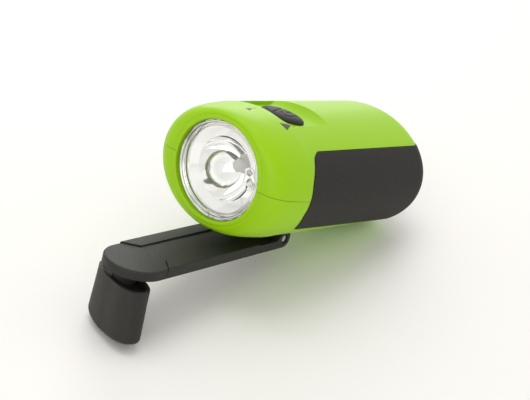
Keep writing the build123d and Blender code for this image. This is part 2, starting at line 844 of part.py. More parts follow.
# Generator: a deep-drawn case with a bush, and the coil inside it
with BuildPart() as generator_case:
    with BuildSketch(level(plate_top)):
        with Locations(rotor_place):
            Circle(generator_radius)
    extrude(amount=generator_height)
    with BuildSketch(level(generator_top)):
        with Locations(rotor_place):
            Circle(generator_bush)
    extrude(amount=generator_bush)
    with BuildSketch(level(plate_top)):
        with Locations(rotor_place):
            Circle(generator_radius - generator_wall)
    extrude(amount=generator_height - generator_wall, mode=Mode.SUBTRACT)
    with BuildSketch(level(plate_top)):
        with Locations(rotor_place):
            Circle(rotor_shaft + running_fit)
    extrude(amount=far, mode=Mode.SUBTRACT)

with BuildPart() as generator_coil:
    with BuildSketch(level(plate_top + magnet_lift)):
        with Locations(rotor_place):
            Circle(generator_radius - generator_wall)
            Circle(generator_radius - generator_wall - coil_wall, mode=Mode.SUBTRACT)
    extrude(amount=coil_height)

# Button cells side by side in a cradle, and the circuit board
cell_z = plate_top + holder_wall + cell_radius
cell_span = cell_count * cell_spacing
with BuildPart() as cell_holder:
    with BuildSketch(level(plate_top)):
        with Locations((cell_x, 0)):
            Rectangle(2 * (cell_radius + holder_wall), cell_span + 2 * holder_wall)
    extrude(amount=cell_z - plate_top)
    with BuildSketch(Plane.XZ):
        with Locations((cell_x, cell_z)):
            Circle(cell_radius)
    extrude(amount=cell_span / 2, both=True, mode=Mode.SUBTRACT)

with BuildPart() as button_cells:
    for index in range(cell_count):
        y = (index - (cell_count - 1) / 2) * cell_spacing
        with BuildSketch(Plane.XZ.offset(-y)):
            with Locations((cell_x, cell_z)):
                Circle(cell_radius)
        extrude(amount=(cell_length - cell_cap) / 2, both=True)
        with BuildSketch(Plane.XZ.offset(-y)):
            with Locations((cell_x, cell_z)):
                Circle(cell_cap_radius)
        extrude(amount=cell_length / 2, both=True)

with BuildPart() as circuit_board:
    with BuildSketch(level(plate_top)):
        with Locations((circuit_x, 0)):
            Rectangle(circuit_length, circuit_width)
        with Locations(idler_place):
            Circle(axle_radius + fit_gap, mode=Mode.SUBTRACT)
    extrude(amount=circuit_thickness)

with BuildPart() as circuit_chips:
    with BuildSketch(level(plate_top + circuit_thickness)):
        with Locations((circuit_x, -2 * chip_size), (circuit_x, chip_size), (circuit_x, 2.4 * chip_size)):
            Rectangle(chip_size, chip_size)
    extrude(amount=chip_height)

# The object stands on its tail and its knob, nose up, centred over the origin
turned = Location((0, 0, 0), (0, -stand_pitch, 0))
extent = (upper_shell.part.moved(turned) + lower_shell.part.moved(turned) + crank_knob.part.moved(turned)
          + crank_arm.part.moved(turned)).bounding_box()
standing = Location((-(extent.min.X + extent.max.X) / 2, 0, -extent.min.Z)) * turned

upper_shell.part.label = "upper_shell"
upper_shell.part.move(standing)
export_step(upper_shell.part, "parts/upper_shell.step")

lower_shell.part.label = "lower_shell"
lower_shell.part.move(standing)
export_step(lower_shell.part, "parts/lower_shell.step")

grip.part.label = "grip"
grip.part.move(standing)
export_step(grip.part, "parts/grip.step")

housing_screws.part.label = "housing_screws"
housing_screws.part.move(standing)
export_step(housing_screws.part, "parts/housing_screws.step")

lens.part.label = "lens"
lens.part.move(standing)
export_step(lens.part, "parts/lens.step")

reflector.part.label = "reflector"
reflector.part.move(standing)
export_step(reflector.part, "parts/reflector.step")

led.part.label = "led"
led.part.move(standing)
export_step(led.part, "parts/led.step")

led_board.part.label = "led_board"
led_board.part.move(standing)
export_step(led_board.part, "parts/led_board.step")

switch_slider.part.label = "switch_slider"
switch_slider.part.move(standing)
export_step(switch_slider.part, "parts/switch_slider.step")

switch_case.part.label = "switch_case"
switch_case.part.move(standing)
export_step(switch_case.part, "parts/switch_case.step")

crank_hub.part.label = "crank_hub"
crank_hub.part.move(standing)
export_step(crank_hub.part, "parts/crank_hub.step")

hub_screw.part.label = "hub_screw"
hub_screw.part.move(standing)
export_step(hub_screw.part, "parts/hub_screw.step")

hinge_pin.part.label = "hinge_pin"
hinge_pin.part.move(standing)
export_step(hinge_pin.part, "parts/hinge_pin.step")

crank_arm.part.label = "crank_arm"
crank_arm.part.move(standing)
export_step(crank_arm.part, "parts/crank_arm.step")

arm_channel.part.label = "arm_channel"
arm_channel.part.move(standing)
export_step(arm_channel.part, "parts/arm_channel.step")

spindle.part.label = "spindle"
spindle.part.move(standing)
export_step(spindle.part, "parts/spindle.step")

crank_knob.part.label = "crank_knob"
crank_knob.part.move(standing)
export_step(crank_knob.part, "parts/crank_knob.step")

crank_gear.part.label = "crank_gear"
crank_gear.part.move(standing)
export_step(crank_gear.part, "parts/crank_gear.step")

idler_gear.part.label = "idler_gear"
idler_gear.part.move(standing)
export_step(idler_gear.part, "parts/idler_gear.step")

idler_axle.part.label = "idler_axle"
idler_axle.part.move(standing)
export_step(idler_axle.part, "parts/idler_axle.step")

rotor_pinion.part.label = "rotor_pinion"
rotor_pinion.part.move(standing)
export_step(rotor_pinion.part, "parts/rotor_pinion.step")

rotor_axle.part.label = "rotor_axle"
rotor_axle.part.move(standing)
export_step(rotor_axle.part, "parts/rotor_axle.step")

rotor_magnet.part.label = "rotor_magnet"
rotor_magnet.part.move(standing)
export_step(rotor_magnet.part, "parts/rotor_magnet.step")

gear_plate.part.label = "gear_plate"
gear_plate.part.move(standing)
export_step(gear_plate.part, "parts/gear_plate.step")

plate_screws.part.label = "plate_screws"
plate_screws.part.move(standing)
export_step(plate_screws.part, "parts/plate_screws.step")

generator_case.part.label = "generator_case"
generator_case.part.move(standing)
export_step(generator_case.part, "parts/generator_case.step")

generator_coil.part.label = "generator_coil"
generator_coil.part.move(standing)
export_step(generator_coil.part, "parts/generator_coil.step")

cell_holder.part.label = "cell_holder"
cell_holder.part.move(standing)
export_step(cell_holder.part, "parts/cell_holder.step")

button_cells.part.label = "button_cells"
button_cells.part.move(standing)
export_step(button_cells.part, "parts/button_cells.step")

circuit_board.part.label = "circuit_board"
circuit_board.part.move(standing)
export_step(circuit_board.part, "parts/circuit_board.step")

circuit_chips.part.label = "circuit_chips"
circuit_chips.part.move(standing)
export_step(circuit_chips.part, "parts/circuit_chips.step")
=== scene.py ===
"""Hand crank flashlight: finishes, lens and lamp detail, marks, floor, lights and camera.

Lengths named in millimetres are in the torch frame: X forward out of the lens, Z up through
the thumb switch, origin at the centre of the lens opening. The torch frame stands nose up in
the row frame, turned about the crank's hinge pin.
"""

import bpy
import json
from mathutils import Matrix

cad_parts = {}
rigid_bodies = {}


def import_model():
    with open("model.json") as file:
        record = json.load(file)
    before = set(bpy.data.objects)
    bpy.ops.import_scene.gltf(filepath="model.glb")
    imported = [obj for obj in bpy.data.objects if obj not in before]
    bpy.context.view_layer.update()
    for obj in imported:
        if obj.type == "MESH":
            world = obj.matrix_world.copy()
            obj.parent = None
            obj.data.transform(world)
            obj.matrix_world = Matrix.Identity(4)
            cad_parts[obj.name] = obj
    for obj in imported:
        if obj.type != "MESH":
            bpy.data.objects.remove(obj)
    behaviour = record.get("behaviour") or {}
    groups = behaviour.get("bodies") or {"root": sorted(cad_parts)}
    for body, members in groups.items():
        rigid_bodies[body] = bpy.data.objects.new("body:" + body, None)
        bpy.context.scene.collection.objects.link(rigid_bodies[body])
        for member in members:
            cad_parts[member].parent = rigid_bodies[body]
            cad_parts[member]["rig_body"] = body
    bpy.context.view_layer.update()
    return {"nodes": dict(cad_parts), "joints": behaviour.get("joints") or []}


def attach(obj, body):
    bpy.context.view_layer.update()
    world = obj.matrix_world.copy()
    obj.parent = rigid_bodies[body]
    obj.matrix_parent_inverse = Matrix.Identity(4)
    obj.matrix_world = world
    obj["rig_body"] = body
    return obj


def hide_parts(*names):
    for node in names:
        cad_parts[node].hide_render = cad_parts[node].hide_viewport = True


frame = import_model()

import json
import logging
import math
from dataclasses import dataclass
from enum import Enum
from typing import Any, Optional, Sequence, Union

import bmesh
import bpy
from mathutils import Matrix, Vector
from mathutils.bvhtree import BVHTree

LOG = logging.getLogger("flashlight")
MM = 0.001

# What all finishes share: the size of handled patches, how far the roughness wanders from its
# middle, the haze of a clear coat, and the stretch of a brushed grain.
PATCH_MM = 22.0
ROUGHNESS_SPREAD = 0.05
COAT_ROUGHNESS = 0.12
BRUSH_STRETCH = (1.0, 0.06, 1.0)
# How deep light goes under the skin of a plastic, in mm, and the shares of red, green and blue.
SKIN_DEPTH_MM = 2.0
SKIN_SHARES = (1.0, 1.0, 0.25)


def linear(hex_colour: str, alpha: float = 1.0) -> tuple[float, float, float, float]:
    """Turns an sRGB hex colour into linear values.

    Args:
        hex_colour: Six hex digits, such as "A0C814".
        alpha: The fourth value of the result.

    Returns:
        Linear red, green and blue, and alpha.
    """
    parts = [int(hex_colour[i:i + 2], 16) / 255 for i in (0, 2, 4)]
    red, green, blue = (c / 12.92 if c <= 0.04045 else ((c + 0.055) / 1.055) ** 2.4 for c in parts)
    return red, green, blue, alpha


@dataclass
class TorchFrame:
    """Takes points and directions of the torch into the row frame.

    Attributes:
        pitch: How far the nose is raised, in degrees.
        pin_x: The hinge pin's X in the torch frame, in mm.
        pin_z: The hinge pin's Z in the torch frame, in mm.
        lens_rake: How far the lens looks down, in degrees.
    """

    pitch: float = 15.41
    pin_x: float = -42.85
    pin_z: float = -26.8
    lens_rake: float = 5.7

    def __post_init__(self) -> None:
        """Finds the shift that puts the hinge pin on the fold joint."""
        self.turn = Matrix.Rotation(math.radians(-self.pitch), 3, "Y")
        fold = next(j for j in frame["joints"] if j["name"] == "arm_fold")
        pin = Vector((self.pin_x, 0.0, self.pin_z)) * MM
        self.shift = Vector(fold["pos_m"]) - self.turn @ pin

    def point(self, x: float, y: float, z: float) -> Vector:
        """Returns the row-frame place, in metres, of a torch-frame point in mm."""
        return self.turn @ (Vector((x, y, z)) * MM) + self.shift

    def direction(self, x: float, y: float, z: float) -> Vector:
        """Returns the row-frame direction of a torch-frame direction."""
        return self.turn @ Vector((x, y, z))

    def matrix(self) -> Matrix:
        """Returns the 4 by 4 matrix from torch-frame metres to the row frame."""
        return Matrix.Translation(self.shift) @ self.turn.to_4x4()

    def lens_matrix(self, depth: float) -> Matrix:
        """Returns the matrix from metres in a plane across the lens axis to the row frame.

        Args:
            depth: How far behind the opening the plane lies, in mm.
        """
        rake = math.radians(self.lens_rake)
        outward = Vector((math.cos(rake), 0.0, -math.sin(rake)))
        upward = Vector((math.sin(rake), 0.0, math.cos(rake)))
        axes = Matrix((self.turn @ Vector((0.0, 1.0, 0.0)), self.turn @ upward, self.turn @ outward))
        place = self.point(*(-depth * outward))
        return Matrix.Translation(place) @ axes.transposed().to_4x4()


def add_node(tree: bpy.types.NodeTree, kind: str,
             settings: Optional[dict[Union[str, int], Any]] = None,
             links: Optional[dict[Union[str, int], bpy.types.NodeSocket]] = None) -> bpy.types.Node:
    """Adds a node with its settings and its incoming links.

    Args:
        tree: The node tree that gets the node.
        kind: The node's type, such as "ShaderNodeBump".
        settings: Attribute names, or input names and numbers, with their values.
        links: Input names or numbers with the output sockets that feed them.

    Returns:
        The new node.
    """
    node = tree.nodes.new(kind)
    for name, value in (settings or {}).items():
        if isinstance(name, str) and hasattr(node, name):
            setattr(node, name, value)
        else:
            node.inputs[name].default_value = value
    for name, socket in (links or {}).items():
        tree.links.new(socket, node.inputs[name])
    return node


class Grain(Enum):
    """How a moulded surface was left by its tool."""

    POLISHED = "polished"
    SATIN = "satin"
    SPARK = "spark"
    BRUSHED = "brushed"


@dataclass(frozen=True)
class Finish:
    """A finish as it is ordered: what it is made of and how its surface was made.

    Attributes:
        name: The material's name.
        colour: sRGB hex of the fresh surface.
        rubbed: sRGB hex of its paler, handled patches.
        roughness: Middle roughness.
        metallic: 1 for bare metal.
        grain: How the tool left the surface.
        grain_mm: Size of the surface's grain, in mm.
        depth_mm: Height of the grain, in mm.
        coat: Clear coat weight.
        ior: Index of refraction, or None for the default.
        clear: Transmission weight.
        under_skin: Subsurface weight.
        sheen_level: Specular level, 0.5 for a bare dielectric.
    """

    name: str
    colour: str
    rubbed: str
    roughness: float
    metallic: float = 0.0
    grain: Grain = Grain.SATIN
    grain_mm: float = 0.4
    depth_mm: float = 0.01
    coat: float = 0.0
    ior: Optional[float] = None
    clear: float = 0.0
    under_skin: float = 0.0
    sheen_level: float = 0.5

    def build(self) -> bpy.types.Material:
        """Makes the material.

        Returns:
            A material whose grain and rubbed patches lie on Object coordinates.
        """
        material = bpy.data.materials.new(self.name)
        material.use_nodes = True
        tree = material.node_tree
        tree.nodes.clear()
        place = add_node(tree, "ShaderNodeTexCoord").outputs["Object"]
        if self.grain is Grain.BRUSHED:
            place = add_node(tree, "ShaderNodeMapping", {"Scale": BRUSH_STRETCH},
                             {"Vector": place}).outputs["Vector"]
        grain = add_node(tree, "ShaderNodeTexNoise",
                         {"Scale": 1 / (self.grain_mm * MM * 2), "Detail": 2.0, "Roughness": 0.6},
                         {"Vector": place})
        patches = add_node(tree, "ShaderNodeTexNoise",
                           {"Scale": 1 / (PATCH_MM * MM), "Detail": 3.0, "Roughness": 0.55},
                           {"Vector": place})
        colour = add_node(tree, "ShaderNodeMix",
                          {"data_type": "RGBA", 6: linear(self.colour), 7: linear(self.rubbed)},
                          {0: patches.outputs["Fac"]})
        rough = add_node(tree, "ShaderNodeMapRange",
                         {"From Min": 0.3, "From Max": 0.7,
                          "To Min": max(self.roughness - ROUGHNESS_SPREAD, 0.0),
                          "To Max": self.roughness + ROUGHNESS_SPREAD},
                         {"Value": grain.outputs["Fac"]})
        shader = add_node(tree, "ShaderNodeBsdfPrincipled", {"Metallic": self.metallic},
                          {"Base Color": colour.outputs[2], "Roughness": rough.outputs["Result"]})
        shader.inputs["Specular IOR Level"].default_value = self.sheen_level
        if self.ior:
            shader.inputs["IOR"].default_value = self.ior
        if self.coat:
            shader.inputs["Coat Weight"].default_value = self.coat
            shader.inputs["Coat Roughness"].default_value = COAT_ROUGHNESS
        if self.clear:
            shader.inputs["Transmission Weight"].default_value = self.clear
        if self.under_skin:
            shader.inputs["Subsurface Weight"].default_value = self.under_skin
            shader.inputs["Subsurface Radius"].default_value = SKIN_SHARES
            shader.inputs["Subsurface Scale"].default_value = SKIN_DEPTH_MM * MM
        if self.grain is not Grain.POLISHED:
            bump = add_node(tree, "ShaderNodeBump",
                            {"Strength": 1.0, "Distance": self.depth_mm * MM},
                            {"Height": grain.outputs["Fac"]})
            tree.links.new(bump.outputs["Normal"], shader.inputs["Normal"])
        add_node(tree, "ShaderNodeOutputMaterial", {}, {"Surface": shader.outputs["BSDF"]})
        return material


# Injection-moulded ABS from a satin tool: an even, saturated colour with a soft sheen.
LIME_ABS = Finish("abs_lime_satin", "98CC00", "9DD102", 0.4, grain_mm=0.35, depth_mm=0.004,
                  under_skin=0.1, sheen_level=0.3)
# Thermoplastic rubber over-moulding: dark warm grey with hardly any sheen.
GRIP_TPE = Finish("thermoplastic_rubber_grey", "252321", "2A2825", 0.72, grain=Grain.SPARK,
                  grain_mm=0.5, depth_mm=0.02, sheen_level=0.3)
# Nylon moulded in a spark-eroded tool: a fine, even texture that scatters the light.
SPARK_NYLON = Finish("nylon_spark_texture", "23221F", "282724", 0.55, grain=Grain.SPARK,
                     grain_mm=0.45, depth_mm=0.02, sheen_level=0.35)
# Polycarbonate from a polished tool: clear and colourless.
CLEAR_PC = Finish("polycarbonate_clear", "FFFFFF", "FFFFFF", 0.03, grain=Grain.POLISHED,
                  ior=1.49, clear=1.0)
# The same plastic for details that are one with the lens, so light hardly bends on entering them.
CLEAR_DETAIL = Finish("polycarbonate_clear_detail", "FFFFFF", "FFFFFF", 0.03,
                      grain=Grain.POLISHED, ior=1.12, clear=1.0)
# Vacuum-metallised ABS: a mirror with the slightest haze.
METALLISED = Finish("metallised_abs", "F4F5F2", "FFFFFF", 0.05, metallic=1.0,
                    grain=Grain.POLISHED)
# Drawn steel wire, cut and lightly polished.
STEEL = Finish("steel_drawn", "C9C6BE", "D6D3CC", 0.3, metallic=1.0, grain=Grain.BRUSHED,
               grain_mm=0.2, depth_mm=0.004)
# Acetal, moulded: off-white and slippery.
ACETAL = Finish("acetal_natural", "E6E3D8", "ECE9E0", 0.38, grain_mm=0.4, depth_mm=0.004)
# Black polystyrene for pieces that are out of sight.
BLACK_PS = Finish("polystyrene_black", "1B1B1B", "222222", 0.5, grain_mm=0.4, depth_mm=0.01)
# Pressed ferrite: nearly black and slightly rough.
FERRITE = Finish("ferrite_pressed", "2E2E30", "38383A", 0.55, grain=Grain.SPARK, grain_mm=0.3,
                 depth_mm=0.01)
# Enamelled copper winding.
COPPER = Finish("copper_enamelled", "B06A2C", "C07A38", 0.35, metallic=1.0)
# Glass-epoxy laminate with green solder resist.
LAMINATE = Finish("laminate_green", "1F6B35", "23733A", 0.35, grain_mm=0.4, depth_mm=0.004)
# Epoxy moulding compound of the chips.
CHIP_EPOXY = Finish("epoxy_black", "161616", "1C1C1C", 0.6)
# Epoxy dome of the lamp, milky over its pale phosphor.
LAMP_EPOXY = Finish("epoxy_lamp", "FDFBF2", "FFFFFA", 0.1, grain=Grain.POLISHED, coat=0.5,
                    under_skin=0.6)
# Pad-printed ink on the housing.
MARK_INK = Finish("ink_dark_grey", "3A3B2E", "404232", 0.5, grain_mm=0.4, depth_mm=0.004)

CAD_FINISHES: dict[str, Finish] = {
    "upper_shell": LIME_ABS, "lower_shell": LIME_ABS, "grip": GRIP_TPE,
    "housing_screws": STEEL, "lens": CLEAR_PC, "reflector": METALLISED, "led": LAMP_EPOXY,
    "led_board": LAMINATE, "switch_case": BLACK_PS, "crank_hub": SPARK_NYLON,
    "hub_screw": STEEL, "hinge_pin": STEEL,
    "crank_arm": SPARK_NYLON, "arm_channel": SPARK_NYLON, "spindle": STEEL,
    "crank_knob": SPARK_NYLON, "crank_gear": ACETAL, "idler_gear": ACETAL,
    "idler_axle": STEEL, "rotor_pinion": ACETAL, "rotor_axle": STEEL,
    "rotor_magnet": FERRITE, "gear_plate": BLACK_PS, "plate_screws": STEEL,
    "generator_case": STEEL, "generator_coil": COPPER, "cell_holder": BLACK_PS,
    "button_cells": STEEL, "circuit_board": LAMINATE, "circuit_chips": CHIP_EPOXY,
}


class Workshop:
    """Keeps the built materials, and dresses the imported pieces."""

    def __init__(self) -> None:
        """Starts with no materials."""
        self.made: dict[str, bpy.types.Material] = {}

    def material(self, finish: Finish) -> bpy.types.Material:
        """Returns the finish's material, built once."""
        if finish.name not in self.made:
            self.made[finish.name] = finish.build()
        return self.made[finish.name]

    def dress(self, piece: bpy.types.Object, finish: Finish) -> None:
        """Gives a piece one material over all its faces.

        Args:
            piece: The mesh object.
            finish: The finish it gets.
        """
        piece.data.materials.clear()
        piece.data.materials.append(self.material(finish))
        for face in piece.data.polygons:
            face.material_index = 0

    def skin(self, node: str, finish: Finish, angle: float = 32.0,
             weld_mm: float = 0.004) -> bpy.types.Object:
        """Makes a smooth-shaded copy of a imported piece, which stands for it.

        Args:
            node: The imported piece's name.
            finish: The finish of the copy.
            angle: Edges sharper than this, in degrees, stay sharp.
            weld_mm: Vertices nearer than this are joined.

        Returns:
            The copy.
        """
        source = frame["nodes"][node]
        mesh = source.data.copy()
        mesh.name = node + "_skin"
        work = bmesh.new()
        work.from_mesh(mesh)
        bmesh.ops.remove_doubles(work, verts=work.verts, dist=weld_mm * MM)
        for face in work.faces:
            face.smooth = True
        for edge in work.edges:
            edge.smooth = len(edge.link_faces) == 2 and edge.calc_face_angle() < math.radians(angle)
        work.to_mesh(mesh)
        work.free()
        copy = bpy.data.objects.new(node + "_skin", mesh)
        bpy.context.scene.collection.objects.link(copy)
        weighted = copy.modifiers.new("weighted_normals", "WEIGHTED_NORMAL")
        weighted.keep_sharp = True
        self.dress(copy, finish)
        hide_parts(node)
        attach(copy, source["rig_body"])
        return copy


def stitch(work: bmesh.types.BMesh, rings: Sequence[Sequence[bmesh.types.BMVert]]) -> None:
    """Joins each ring of vertices to the next by four-sided faces.

    Args:
        work: The shape that holds the rings.
        rings: Rings with the same number of vertices, in order.
    """
    for inner, outer in zip(rings, rings[1:]):
        for i in range(len(inner)):
            j = (i + 1) % len(inner)
            work.faces.new((inner[i], outer[i], outer[j], inner[j]))


def close_ends(work: bmesh.types.BMesh, rings: Sequence[Sequence[bmesh.types.BMVert]]) -> None:
    """Closes a stack of rings at both ends.

    Args:
        work: The shape that holds the rings.
        rings: The rings, in order.
    """
    work.faces.new(rings[-1])
    work.faces.new(list(reversed(rings[0])))


def to_mesh(work: bmesh.types.BMesh, name: str, place: Matrix) -> bpy.types.Mesh:
    """Turns a worked shape into a mesh whose faces look outward.

    Args:
        work: The shape, which is freed.
        name: The mesh's name.
        place: The matrix that takes the shape to the row frame.

    Returns:
        The mesh in the row frame.
    """
    bmesh.ops.recalc_face_normals(work, faces=work.faces)
    mesh = bpy.data.meshes.new(name)
    work.to_mesh(mesh)
    work.free()
    mesh.transform(place)
    return mesh


def finish_piece(shop: Workshop, mesh: bpy.types.Mesh, finish: Finish, body: str,
                 smooth: bool = True) -> bpy.types.Object:
    """Puts a mesh in the scene as a piece that rides on a body.

    Args:
        shop: The materials.
        mesh: The mesh, in its place in the row frame; the piece takes its name.
        finish: Its finish.
        body: The body it rides on.
        smooth: Whether its faces are shaded as one curved surface.

    Returns:
        The piece.
    """
    piece = bpy.data.objects.new(mesh.name, mesh)
    bpy.context.scene.collection.objects.link(piece)
    for face in mesh.polygons:
        face.use_smooth = smooth
    shop.dress(piece, finish)
    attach(piece, body)
    LOG.info("%s: %s, %d faces", piece.name, finish.name, len(mesh.polygons))
    return piece


@dataclass(frozen=True)
class Ring:
    """One rounded ring on the lens's bore.

    Attributes:
        name: The piece's name.
        radius: Radius of its middle line, in mm.
        half_width: Half its width across the bore, in mm.
        half_height: Half its height along the bore, in mm.
        depth: How far behind the opening it lies, in mm.
        gap: Width of the parting line that crosses it, in mm.
        finish: Its finish.
        slot: Name of a material slot in the record; not used.
    """

    name: str
    radius: float
    half_width: float
    half_height: float
    depth: float
    gap: float
    finish: Finish
    slot: str


@dataclass
class BoreRings:
    """Rounded rings that follow the bore of the lens, made by Geometry Nodes.

    Attributes:
        rings: The housing's rim, the bead on the lens's edge and the bead round its window.
        section_points: Points round a ring's section.
        arc_points: Points along each half of a ring.
        weld_mm: Vertices nearer than this are joined, where the halves meet.
    """

    rings: tuple[Ring, ...] = (
        Ring("bezel_rim", 20.45, 0.95, 0.45, 0.1, 0.16, LIME_ABS, "body_green"),
        Ring("lens_edge_bead", 18.45, 0.55, 0.4, 1.9, 0.0, CLEAR_PC, "clear_lens"),
        Ring("lens_window_bead", 17.05, 0.3, 0.25, 1.85, 0.0, CLEAR_PC, "clear_lens"),
    )
    section_points: int = 20
    arc_points: int = 97
    weld_mm: float = 0.002

    def tree(self) -> bpy.types.NodeTree:
        """Builds the tree: two arcs with a rounded section, and a gap between their ends.

        Returns:
            A tree with inputs for the radius, the section, the gap and the material.
        """
        tree = bpy.data.node_groups.new("ring_on_the_bore", "GeometryNodeTree")
        for name, kind in (("Radius", "Float"), ("Half Width", "Float"), ("Half Height", "Float"),
                           ("Gap", "Float"), ("Material", "Material")):
            tree.interface.new_socket(name, in_out="INPUT", socket_type="NodeSocket" + kind)
        tree.interface.new_socket("Geometry", in_out="OUTPUT", socket_type="NodeSocketGeometry")
        given = add_node(tree, "NodeGroupInput").outputs
        angle = add_node(tree, "ShaderNodeMath", {"operation": "DIVIDE"},
                         {0: given["Gap"], 1: given["Radius"]}).outputs["Value"]
        sweep = add_node(tree, "ShaderNodeMath", {"operation": "SUBTRACT", 0: math.pi},
                         {1: angle}).outputs["Value"]
        section = add_node(tree, "GeometryNodeCurvePrimitiveCircle",
                           {"Resolution": self.section_points, "Radius": 1.0})
        scale = add_node(tree, "ShaderNodeCombineXYZ", {"Z": 1.0},
                         {"X": given["Half Width"], "Y": given["Half Height"]})
        section = add_node(tree, "GeometryNodeTransform", {},
                           {"Geometry": section.outputs["Curve"], "Scale": scale.outputs["Vector"]})
        join = add_node(tree, "GeometryNodeJoinGeometry")
        for half_turn in (0.0, math.pi):
            half_gap = add_node(tree, "ShaderNodeMath", {"operation": "MULTIPLY_ADD", 1: 0.5,
                                                         2: half_turn}, {0: angle})
            arc = add_node(tree, "GeometryNodeCurveArc", {"Resolution": self.arc_points},
                           {"Radius": given["Radius"], "Start Angle": half_gap.outputs["Value"],
                            "Sweep Angle": sweep})
            ring = add_node(tree, "GeometryNodeCurveToMesh", {"Fill Caps": True},
                            {"Curve": arc.outputs["Curve"],
                             "Profile Curve": section.outputs["Geometry"]})
            tree.links.new(ring.outputs["Mesh"], join.inputs["Geometry"])
        real = add_node(tree, "GeometryNodeRealizeInstances", {},
                        {"Geometry": join.outputs["Geometry"]})
        dressed = add_node(tree, "GeometryNodeSetMaterial", {},
                           {"Geometry": real.outputs["Geometry"], "Material": given["Material"]})
        add_node(tree, "NodeGroupOutput", {}, {"Geometry": dressed.outputs["Geometry"]})
        return tree

    def build(self, shop: Workshop, torch: TorchFrame) -> list[bpy.types.Object]:
        """Makes the rings as plain meshes.

        Args:
            shop: The materials.
            torch: The torch frame.

        Returns:
            The bezel and the two clear beads.
        """
        tree = self.tree()
        sockets = {item.name: item.identifier for item in tree.interface.items_tree
                   if item.in_out == "INPUT"}
        pieces = []
        for ring in self.rings:
            carrier = bpy.data.objects.new("carrier", bpy.data.meshes.new("carrier"))
            bpy.context.scene.collection.objects.link(carrier)
            nodes = carrier.modifiers.new("ring", "NODES")
            nodes.node_group = tree
            for label, value in (("Radius", ring.radius), ("Half Width", ring.half_width),
                                 ("Half Height", ring.half_height), ("Gap", ring.gap)):
                nodes[sockets[label]] = value * MM
            nodes[sockets["Material"]] = shop.material(ring.finish)
            seen = carrier.evaluated_get(bpy.context.evaluated_depsgraph_get())
            plain = bpy.data.meshes.new_from_object(seen)
            carrier.modifiers.remove(nodes)
            bpy.data.objects.remove(carrier)
            work = bmesh.new()
            work.from_mesh(plain)
            bpy.data.meshes.remove(plain)
            bmesh.ops.remove_doubles(work, verts=work.verts, dist=self.weld_mm * MM)
            mesh = to_mesh(work, ring.name, torch.lens_matrix(ring.depth))
            pieces.append(finish_piece(shop, mesh, ring.finish, "housing"))
        return pieces


@dataclass(frozen=True)
class Pebble:
    """A rounded pill in the plane of the lens.

    Attributes:
        y: Its middle's place across the torch, in mm.
        z: Its middle's place up the lens, in mm.
        length: Its length, in mm.
        width: Its width, in mm.
        height: Its height, in mm.
        angle: How far its length is turned from Y, in degrees.
    """

    y: float
    z: float
    length: float
    width: float
    height: float
    angle: float


@dataclass
class LensTabs:
    """The pill-shaped tab, its two domes and the small clip that are moulded on the lens.

    Attributes:
        pebbles: The tab, the domes and the clip.
        depth: How far behind the opening they stand, in mm.
        sunk: How far they reach into the lens, in mm.
        around: Points round each.
        steps: Rings from the foot of each to its top.
    """

    pebbles: tuple[Pebble, ...] = (
        Pebble(14.4, 2.3, 8.6, 4.4, 0.25, 108.0),
        Pebble(13.8, 4.4, 2.5, 2.4, 0.5, 0.0),
        Pebble(14.9, 0.9, 3.4, 2.8, 0.5, 108.0),
        Pebble(-0.4, -18.5, 3.0, 1.6, 0.5, 90.0),
    )
    depth: float = 1.75
    sunk: float = 0.25
    around: int = 40
    steps: int = 6

    def raise_pebble(self, work: bmesh.types.BMesh, pebble: Pebble) -> None:
        """Adds one rounded pill, closed below.

        Args:
            work: The shape it is added to.
            pebble: Its sizes and place.
        """
        radius, straight = pebble.width / 2, (pebble.length - pebble.width) / 2
        turn = Matrix.Rotation(math.radians(pebble.angle), 2)
        rings = []
        for step in range(-1, self.steps + 1):
            lean = math.pi / 2 * max(step, 0) / self.steps
            reach = radius - min(pebble.height, radius) * (1 - math.cos(lean))
            rise = pebble.height * math.sin(lean) if step >= 0 else -self.sunk
            ring = []
            for i in range(self.around):
                way = 2 * math.pi * i / self.around
                spot = turn @ Vector((reach * math.cos(way) + math.copysign(straight, math.cos(way)),
                                      reach * math.sin(way)))
                ring.append(work.verts.new(Vector((pebble.y + spot.x, pebble.z + spot.y, rise)) * MM))
            rings.append(ring)
        stitch(work, rings)
        close_ends(work, rings)

    def build(self, shop: Workshop, torch: TorchFrame) -> bpy.types.Object:
        """Makes the tab, its domes and the clip as one clear piece.

        Args:
            shop: The materials.
            torch: The torch frame.

        Returns:
            The piece.
        """
        work = bmesh.new()
        for pebble in self.pebbles:
            self.raise_pebble(work, pebble)
        mesh = to_mesh(work, "lens_tabs", torch.lens_matrix(self.depth))
        return finish_piece(shop, mesh, CLEAR_DETAIL, "housing")


